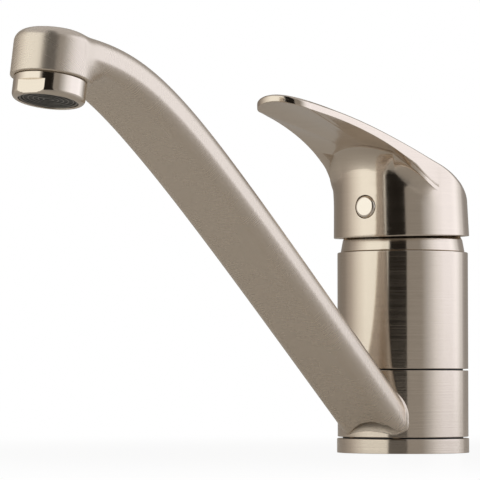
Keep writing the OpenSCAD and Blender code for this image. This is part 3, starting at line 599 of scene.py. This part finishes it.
# The bead's rows, as height over the collar and swelling; the first two are inside the collar.
bead = ((-1.5, 0.7), (-0.1, 0.7), (0.05, 0.7), (0.25, 0.62), (0.42, 0.46), (0.52, 0.26), (0.62, 0.08),
        (0.8, 0.0))
scoop_rows, root_arm_rows, gather = 12, 22, 1.4
collar_travel = to_collar(x0, q0, collar_r)
start = to_collar(x0, q0, collar_r + bead[-1][0])
turning = np.maximum(collar_travel + scoop, start + least_scoop)
root_rows = [root_row(to_collar(x0 + swell * (1 - below) * out_x, q0, collar_r + over), swell)
             for over, swell in bead]
root_rows += [root_row(mix(start, turning, g), 0) for g in np.linspace(0, 1, scoop_rows + 1)[1:]]
root_rows += [root_row(mix(turning, 0, g ** gather), 0) for g in np.linspace(0, 1, root_arm_rows + 2)[1:-1]]

# Rim, underside and bore of the head, down to the nipple that carries the aerator, as radius and
# height above the outlet.
ends = [(13.26, head_rim + 0.32), (13.15, head_rim + 0.12), (12.95, head_rim), (12.0, head_rim),
        (10.45, head_rim), (10.4, head_rim - 0.05), (10.4, 2.65), (10.35, 2.6), (8.65, 2.6),
        (8.6, 2.65), (8.6, 15.8), (8.5, 15.9), (0.2, 15.9)]
end_x = np.stack([r * np.cos(ray) for r, _ in ends])
end_q = np.stack([outlet + up * axis_up + (r * np.sin(ray))[:, None] * axis_out for r, up in ends])

all_x = np.concatenate([np.stack([k[0] for k in root_rows]), skin_x, end_x])
all_q = np.concatenate([np.stack([k[1] for k in root_rows]), skin_q, end_q])
arm_points = np.stack([all_x, -all_q[..., 0], all_q[..., 1]], -1)
run = np.concatenate([np.zeros((1, columns)), np.linalg.norm(np.diff(arm_points, axis=0), axis=-1).cumsum(0)])
girth = np.linalg.norm(arm_points - np.roll(arm_points, 1, 1), axis=-1).cumsum(1)
arm_faces = grid_faces(len(all_x), columns)[:, ::-1].tolist()
arm_faces += [list(range(columns)), list(range(len(all_x) * columns - 1, (len(all_x) - 1) * columns - 1, -1))]
arm = make_mesh("spout_arm", arm_points * mm, arm_faces, uv=np.stack([run, girth], -1) * mm, sharp=32)

# Painted shade in the scoop: darkest in its middle rows, along half a sine wave, and less towards
# its sides, where the scoop is shorter than 3 mm.
shade_full = 3
painted_shade = np.zeros((len(all_x), columns), np.float32)
shade_along = np.sin(np.linspace(0.3, math.pi - 0.25, scoop_rows))[:, None] ** 0.7
painted_shade[len(bead):len(bead) + scoop_rows] = (below * smooth(scoop / shade_full)) * shade_along
arm.data.attributes.new("painted_shade", "FLOAT", "POINT").data.foreach_set("value", painted_shade.ravel())
# Satin plate for the arm, with painted shade in its scoop.
satin = plated("nickel_satin_arm", (0.79, 0.70, 0.59), 0.27, 0.03, 0.03, (2600, 120, 60), uv=True,
               metallic=0.72, shade_attribute="painted_shade")
dress(arm, "spout", "nickel_satin", satin, "arm")

# Aerator
# A polished ring with two spanner flats, screwed on the head's nipple. It holds a dark moulded
# insert with thin raised rings, a painted highlight on their edges, and a fine dark screen over it.
outlet_place = np.eye(4)
outlet_place[1:3, 1:3] = [[math.cos(outlet_tilt), math.sin(outlet_tilt)],
                          [-math.sin(outlet_tilt), math.cos(outlet_tilt)]]
outlet_place[:3, 3] = [0, -reach, outlet_z]
flat_off, flat_top, flat_turn, ring_bore = 10.9, 4.4, math.radians(96), 10.55


def spanner_flats(r, z, a):
    """Radius held to the two flats below their ledge, on the ring's outside only: a flat's distance
    from the axis over the cosine of the angle from its middle."""
    across = np.abs(np.cos(a - flat_turn))
    return np.where((z < flat_top) & (r > ring_bore), np.minimum(r, flat_off / np.maximum(across, 0.5)), r)


polished = plated("nickel_polished", (0.75, 0.67, 0.57), 0.13, 0.06, 0.08, (40, 40, 2500))
housing_profile = [(9.85, -0.4, 0.25), (12.0, -0.4, 1.7), (12.0, 4.395, 0.003), (12.0, 4.405, 0.003),
                   (12.0, 6.75, 0.15), (10.5, 6.75, 0.1), (10.5, 1.9, 0.05), (9.85, 1.65, 0.05)]
housing = turned("aerator_ring", housing_profile, around=384, place=outlet_place, spacing=0.5,
                 trim=spanner_flats)
dress(housing, "spout", "nickel_bright", polished, "aerator_housing")

rib_section = ((-0.19, 0.5), (-0.15, 0.28), (0.15, 0.28), (0.19, 0.5))
ribs = [(r + aside, z, 0.02) for r in (1.65, 3.3, 4.95, 6.6, 8.25) for aside, z in rib_section]
cage_profile = [(0.02, 0.5, 0.005), *ribs, (9.0, 0.5, 0.03), (9.05, 0.05, 0.05), (9.65, 0.05, 0.05),
                (9.65, 1.8, 0.1), (0.02, 1.8, 0.005)]
cage_around, cage_spacing, highlight_below, highlight_blend = 160, 0.5, 0.44, 0.1
cage = turned("aerator_rings", cage_profile, cage_around, outlet_place, cage_spacing)
cage_points, _ = lathe(cage_profile, cage_around, cage_spacing)
# Painted highlight: the lowest tips of the rings are light grey, standing in for light caught on their edges.
rib_highlight = smooth((highlight_below - cage_points[..., 2]) / highlight_blend).astype(np.float32)
cage.data.attributes.new("rib_highlight", "FLOAT", "POINT").data.foreach_set("value", rib_highlight.ravel())
insert_black = moulded("insert_acetal", (0.020, 0.020, 0.019), 0.42, 0.25, 900, 0.2)
tree = insert_black.node_tree
skin = tree.nodes["Principled BSDF"]
shade = skin.inputs["Base Color"].links[0].from_socket
# The painted highlight mixes the rings' tips towards light grey.
edge = add(tree, "Attribute", attribute_name="rib_highlight")
shade = add(tree, "Mix", {0: edge.outputs["Fac"], 6: shade, 7: (0.30, 0.30, 0.29, 1)}, data_type="RGBA")
tree.links.new(shade.outputs[2], skin.inputs["Base Color"])
dress(cage, "spout", "dark_plastic", insert_black, "aerator_cage")
dark_screen = moulded("screen_acetal", (0.02, 0.02, 0.019), 0.5, 0.3, 1500, 0.4)
repaint(dark_screen, "aerator_screen")

# Body
# The tube above the collar: turned brass, nickel plated and brushed round. It is screwed on
# the core's head and holds the cartridge.
tube = turned("body_tube", [(22.45, 31.9, 0.05), (25, 31.9, 0.18), (25, 76.4, 0.4), (22.25, 76.4, 0.1),
                            (22.25, 67.8, 0.1), (20.05, 67.8, 0.1), (20.05, 38.2, 0.05), (22.45, 38.2, 0.05)])
dress(tube, "column", "nickel_satin", round_brushed, "body")

# Cartridge
# White moulded housing and base, two lapped alumina discs, a grey carrier and stem guide, and
# the steel pin and stem. It is dropped into the body and clamped by the brass nut, and a steel
# grub screw holds the handle on its stem.
white_moulding = moulded("white_moulding", (0.78, 0.77, 0.73), 0.42, 0.05, 500, 0.2)
grey_moulding = moulded("grey_moulding", (0.28, 0.31, 0.33), 0.42, 0.08, 500, 0.2)
alumina = moulded("lapped_alumina", (0.86, 0.85, 0.82), 0.16, 0.03, 1500, 0.05)
fine_steel = moulded("plain_steel", (0.45, 0.45, 0.44), 0.32, 0.08, 1200, 0.3, metallic=1.0)
repaint(white_moulding, "cartridge_base", "cartridge_housing")
repaint(grey_moulding, "stem_guide", "disc_carrier")
repaint(alumina, "fixed_disc", "moving_disc")
repaint(fine_steel, "pivot_pin", "stem", "grub_screw")

# Dome cover
# A thin turned cover over the nut, nickel plated, pushed on the nut's neck. Its side shows
# between the body and the handle.
dome = turned("dome_ring", [(19.05, 76.5, 0.1), (23.75, 76.5, 0.3), (22.9, 81.1, 0.6), (21.6, 83.5, 1.4),
                            (14.6, 83.5, 0.3), (14.6, 80.95, 0.1), (19.05, 80.95, 0.1)])
dress(dome, "column", "nickel_satin", round_brushed, "dome_cover")

# Handle
# One casting, plated and brushed: a round skirt over the dome, a top that climbs to the tip,
# and a thin blade whose flat underside turns into the skirt in a wide hollow curve. The whole
# leans forward a little, and a recess in its front takes the index button.
lean, pivot_z = math.tan(math.radians(2.7)), 66.0
draft, draft_top = math.tan(math.radians(1.7)), 100.0
lever_t, back_h, tip_h, arch_h, skirt_z = 2.3, 93.6, 128.4, 2.0, 82.3
cap_r = 25.96 - 18.5 * draft
plan_reach = 88.6 - (tip_h - pivot_z) * lean
tip_half, tip_depth, side_a = 11.05, 8.5, math.radians(68)
button_z, button_y, hole_r = 92.8, 24.9, 4.42


def half_plan():
    """Half the handle's outline: a quarter ellipse for the tip, a cubic curve along the blade with
    one control point behind the tip and one on the cap's tangent, then the cap's arc."""
    tip_points, side_points, cap_points = 30, 110, 80
    blade_pull, cap_pull = [4.9, 32], 12
    t = np.linspace(0, 1, tip_points, endpoint=False)
    tip = np.stack([tip_half * np.sin(t * math.pi / 2),
                    tip_depth - plan_reach - tip_depth * np.cos(t * math.pi / 2)], 1)
    a = np.array([tip_half, tip_depth - plan_reach])
    d = cap_r * np.array([math.sin(side_a), -math.cos(side_a)])
    b, c = a + blade_pull, d - cap_pull * np.array([math.cos(side_a), math.sin(side_a)])
    t = np.linspace(0, 1, side_points, endpoint=False)[:, None]
    side = a * (1 - t) ** 3 + 3 * b * t * (1 - t) ** 2 + 3 * c * t * t * (1 - t) + d * t ** 3
    w = np.linspace(side_a, math.pi, cap_points)
    return np.concatenate([tip, side, cap_r * np.stack([np.sin(w), -np.cos(w)], 1)])


half = half_plan()
plan = np.concatenate([half, half[-2:0:-1] * [-1, 1]])
along = np.roll(plan, -1, 0) - np.roll(plan, 1, 0)
plan_normal = np.stack([along[:, 1], -along[:, 0]], 1) / np.linalg.norm(along, axis=1)[:, None]
back_rise, tip_rise = 0.52, 0.07


def top_at(p):
    """Height of the top at plan point p: a cubic that climbs from the back edge to the tip, leaving
    and arriving at the two given rises, plus a crown that is full in the middle and falls with
    the square of the share of the half width to nothing at the sides."""
    span = plan_reach + cap_r
    t = np.clip((cap_r - p[..., 1]) / span, 0, 1)
    height = (back_h * (2 * t ** 3 - 3 * t ** 2 + 1) + span * back_rise * (t ** 3 - 2 * t ** 2 + t)
              + tip_h * (3 * t ** 2 - 2 * t ** 3) + span * tip_rise * (t ** 3 - t ** 2))
    t = np.clip((plan_reach + p[..., 1]) / (plan_reach + cap_r * 0.2), 0, 1)
    width = mix(tip_half, cap_r, mix(t ** 3, t, 0.35))
    return height + arch_h * (1 - np.minimum(1, np.abs(p[..., 0]) / width) ** 2)


# At each point of the outline: how far it is beyond the cap, the rounding of the top edge, the
# height of the side band under it, the lower edge of the band, the foot of the hollow curve
# between blade and skirt, and the small rounding of the blade's lower edge.
edge_blade, edge_back = 1.0, 4.5
band_more, band_halved = 7.5, 4.5
foot_most, flat_gap, hollow_deep = 6, 1.6, 9.5
lip_near, lip_far, lip_over = 1.2, 0.3, 9
far = np.linalg.norm(plan, axis=1)
unit = plan / far[:, None]
beyond = np.maximum(far - cap_r, 0)
edge_r = mix(edge_blade, edge_back, smooth((plan[:, 1] / cap_r + 0.9) / 1.6))
band = lever_t + band_more * band_halved / (band_halved + beyond) * smooth(1.2 - plan[:, 1] / cap_r)
wall = unit * cap_r
wall_low = skirt_z + wall[:, 1] * lean * 0.7
band_low = np.maximum(top_at(plan) - np.maximum(band, edge_r + 0.6), skirt_z + plan[:, 1] * lean + 1.2)
foot_out = beyond * foot_most / (beyond + foot_most)
hollow = unit * (cap_r + foot_out)[:, None]
flat_low = np.minimum(band_low, top_at(hollow) - lever_t) - flat_gap
hollow_low = np.maximum(flat_low - hollow_deep, mix(wall_low, flat_low, 0.35))
lip = np.minimum(mix(lip_near, lip_far, smooth(beyond / lip_over)), 0.7 * beyond ** 2 / (beyond + foot_most))


def between(count):
    """Even shares from nought to one, without the two ends, for that many rows."""
    return np.linspace(0, 1, count + 2)[1:-1]


def quarter(count):
    """Even angles from nought to a quarter turn, for that many rows."""
    return np.linspace(0, math.pi / 2, count)


# Rows from the top's middle out over the edge, down the band, in under the blade, round the
# hollow curve and down the skirt, then up inside it.
inset = plan - edge_r[:, None] * plan_normal
rows = [np.column_stack([inset * f, top_at(inset * f)]) for f in (0.01, *np.linspace(0.04, 1, 44)[:-1])]
for a in quarter(12):
    p = plan - (edge_r * (1 - math.sin(a)))[:, None] * plan_normal
    rows.append(np.column_stack([p, top_at(p) - edge_r * (1 - math.cos(a))]))
for g in between(4):
    rows.append(np.column_stack([plan, mix(top_at(plan) - edge_r, band_low + lip, g)]))
for a in quarter(5):
    rows.append(np.column_stack([plan - (lip * (1 - math.cos(a)))[:, None] * unit,
                                 band_low + lip * (1 - math.sin(a))]))
for g in between(14):
    rows.append(np.column_stack([mix(plan - lip[:, None] * unit, hollow, g), mix(band_low, flat_low, g)]))
for a in quarter(26):
    rows.append(np.column_stack([unit * (cap_r + foot_out * (1 - math.sin(a)))[:, None],
                                 mix(hollow_low, flat_low, math.cos(a))]))
wall_first, wall_rows = len(rows), 28
for g in np.linspace(0, 1, wall_rows + 1)[1:]:
    rows.append(np.column_stack([wall, mix(hollow_low, wall_low + 0.3, g)]))
for inward, up in ((0.03, 0.15), (0.1, 0.05), (0.25, 0.0)):
    rows.append(np.column_stack([unit * (cap_r - inward), wall_low + up]))
outer = np.stack(rows)
widen = 1 + np.maximum(0, draft_top - outer[..., 2]) * draft / cap_r
outer[..., :2] *= widen[..., None]
bore_r, inside_top = 24.1, 91.6
inner = [np.column_stack([unit * (bore_r + 0.05), wall_low]),
         np.column_stack([unit * bore_r, wall_low + 0.2])]
for radius, level in ((bore_r, 85.4), (21.1, 89.4), (17.1, inside_top), (8.0, inside_top), (0.3, inside_top)):
    inner.append(np.column_stack([unit * radius, np.full(len(unit), level)]))
shell = np.concatenate([outer, np.stack(inner)])
shell[..., 1] -= (shell[..., 2] - pivot_z) * lean
count = shell.shape[1]

# The recess: a block of the wall's grid is taken out, and rings of points run from its border
# to a round hole and down its side to its floor.
side_margin, level_margin, hole_bevel = 1.5, 1.3, 0.08
half_block = int((wall[:len(half), 0] > hole_r + side_margin).argmax())
middle_z = shell[wall_first:wall_first + wall_rows - 1, 0, 2]
top_row = wall_first + int((middle_z > button_z + hole_r + level_margin).sum())
low_row = wall_first + int((middle_z > button_z - hole_r - level_margin).sum())
across, down = np.arange(-half_block, half_block), np.arange(top_row, low_row)
border = np.concatenate([np.column_stack([np.full(len(across), top_row), across]),
                         np.column_stack([down, np.full(len(down), half_block)]),
                         np.column_stack([np.full(len(across), low_row), -across]),
                         np.column_stack([top_row + low_row - down, np.full(len(down), -half_block)])])
border_id = border[:, 0] * count + border[:, 1] % count
border_p = shell.reshape(-1, 3)[border_id]
theta = np.arctan2(border_p[:, 2] - button_z, border_p[:, 0])
round_p = np.column_stack([np.cos(theta), np.sin(theta)])
rings = []
for g in (0.35, 0.65, 0.85, 1.0):
    p = mix(border_p[:, [0, 2]] - [0, button_z], round_p * (hole_r + hole_bevel), g)
    z = p[:, 1] + button_z
    y = -np.sqrt((cap_r + np.maximum(0, draft_top - z) * draft) ** 2 - p[:, 0] ** 2) - (z - pivot_z) * lean
    rings.append(np.column_stack([p[:, 0], y, z]))
hole_edge_y = rings[-1][:, 1]
floor_y = np.full(len(theta), -button_y)
for r, y in ((hole_r + 0.02, hole_edge_y + 0.03), (hole_r, hole_edge_y + 0.1),
             (hole_r, floor_y - 0.1), (hole_r - 0.1, floor_y)):
    rings.append(np.column_stack([r * round_p[:, 0], y, r * round_p[:, 1] + button_z]))

handle_faces = grid_faces(len(shell), count)
row_of, col_of = handle_faces[:, 0] // count, handle_faces[:, 0] % count
taken = (row_of >= top_row) & (row_of < low_row) & ((col_of < half_block) | (col_of >= count - half_block))
ring_id = np.concatenate([border_id, len(shell) * count + np.arange(len(rings) * len(border))])
patch = ring_id[grid_faces(len(rings) + 1, len(border))]
all_faces = np.concatenate([handle_faces[~taken], patch])[:, ::-1].tolist()
all_faces += [list(range(count)), list(range(len(shell) * count - 1, (len(shell) - 1) * count - 1, -1)),
              ring_id[-len(border):][::-1].tolist()]
handle_points = np.concatenate([shell.reshape(-1, 3), np.concatenate(rings)])
handle = make_mesh("lever_handle", handle_points * mm, all_faces, sharp=32)
handle_satin = plated("nickel_brushed_handle", nickel, 0.13, 0.12, 0.4, (40, 40, 2600))
dress(handle, "lever", "nickel_satin", handle_satin, "handle")

# Index button
# A small polished plug pushed into the front of the skirt over the grub screw, its face flat
# and its edge bevelled.
button_place = np.array([[1, 0, 0, 0], [0, 0, -1, -button_y], [0, 1, 0, button_z], [0, 0, 0, 1]], float)
button_polish = plated("button_polish", (0.82, 0.75, 0.66), 0.10, 0.05, 0.10, (300, 300, 300))
button = turned("index_plug", [(0.02, 0.1, 0.005), (4.3, 0.1, 0.1), (4.3, 2.3, 1.2), (0.02, 2.45, 0.005)],
                around=96, place=button_place, spacing=0.5)
dress(button, "lever", "nickel_bright", button_polish, "index_button")
